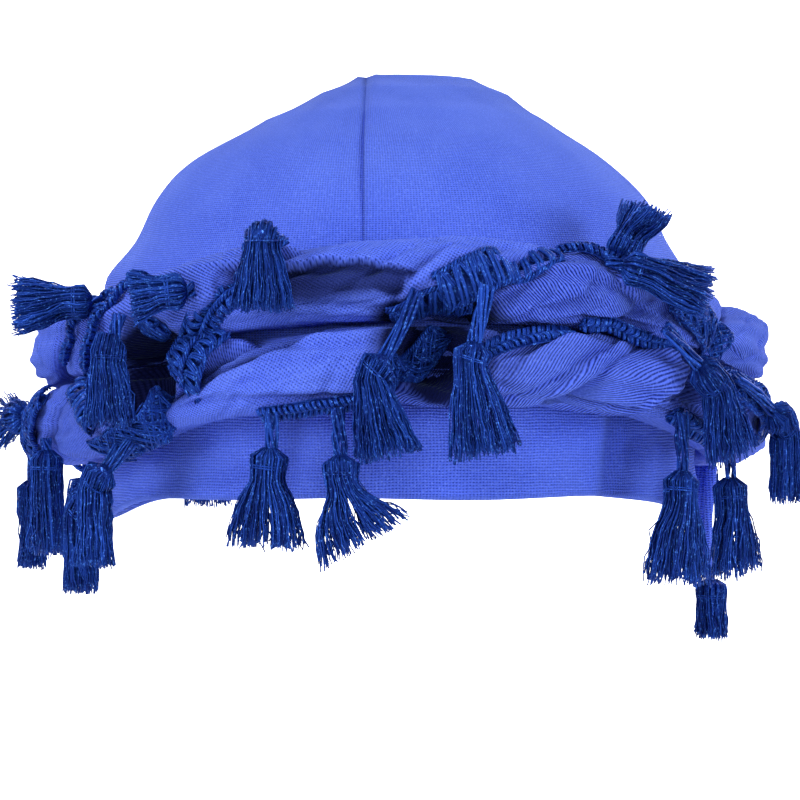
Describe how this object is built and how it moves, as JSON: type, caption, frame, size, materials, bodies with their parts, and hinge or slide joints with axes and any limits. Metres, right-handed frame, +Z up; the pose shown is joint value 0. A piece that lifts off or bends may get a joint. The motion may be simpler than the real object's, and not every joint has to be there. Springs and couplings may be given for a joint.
{
  "type": "turban hat",
  "caption": "Pre-tied turban hat: seamed knit crown and brow band, wound with two twisted scarf rolls that carry crochet edging and tassels.",
  "frame": {"origin": "middle of the head opening, level with the front edge of the brow band, where a head holds the hat", "axes": "+Z up out of the crown, -Y towards the wearer's front, +X towards the wearer's left hand"},
  "size_m": [0.2269, 0.2591, 0.1646],
  "materials": {
    "knit": "matte fine knit with a soft nap",
    "scarf": "matte fine rib knit",
    "edging": "slightly shiny crocheted thread",
    "tassel": "shiny twisted thread"
  },
  "bodies": {
    "root": {"brow_band": "knit", "crown_panel_left": "knit", "crown_panel_right": "knit", "lower_wrap": "scarf", "upper_wrap": "scarf", "edging_upper_1": "edging", "edging_upper_2": "edging", "edging_upper_3": "edging", "edging_upper_4": "edging", "edging_upper_5": "edging", "edging_upper_6": "edging", "edging_upper_7": "edging", "edging_upper_8": "edging", "edging_upper_9": "edging", "edging_lower_1": "edging", "edging_lower_2": "edging", "edging_lower_3": "edging", "edging_lower_4": "edging", "edging_lower_5": "edging", "edging_lower_6": "edging", "edging_lower_7": "edging", "edging_lower_8": "edging", "edging_lower_9": "edging", "edging_lower_10": "edging", "edging_lower_11": "edging", "scarf_tail": "scarf", "tassel_01": "tassel", "tassel_02": "tassel", "tassel_03": "tassel", "tassel_04": "tassel", "tassel_05": "tassel", "tassel_06": "tassel", "tassel_07": "tassel", "tassel_08": "tassel", "tassel_09": "tassel", "tassel_10": "tassel", "tassel_11": "tassel", "tassel_12": "tassel", "tassel_13": "tassel", "tassel_14": "tassel", "tassel_15": "tassel", "tassel_16": "tassel", "tassel_17": "tassel", "tassel_18": "tassel", "tassel_19": "tassel", "tassel_20": "tassel", "tassel_21": "tassel", "tassel_22": "tassel", "tassel_23": "tassel", "tassel_24": "tassel"}
  },
  "joints": []
}
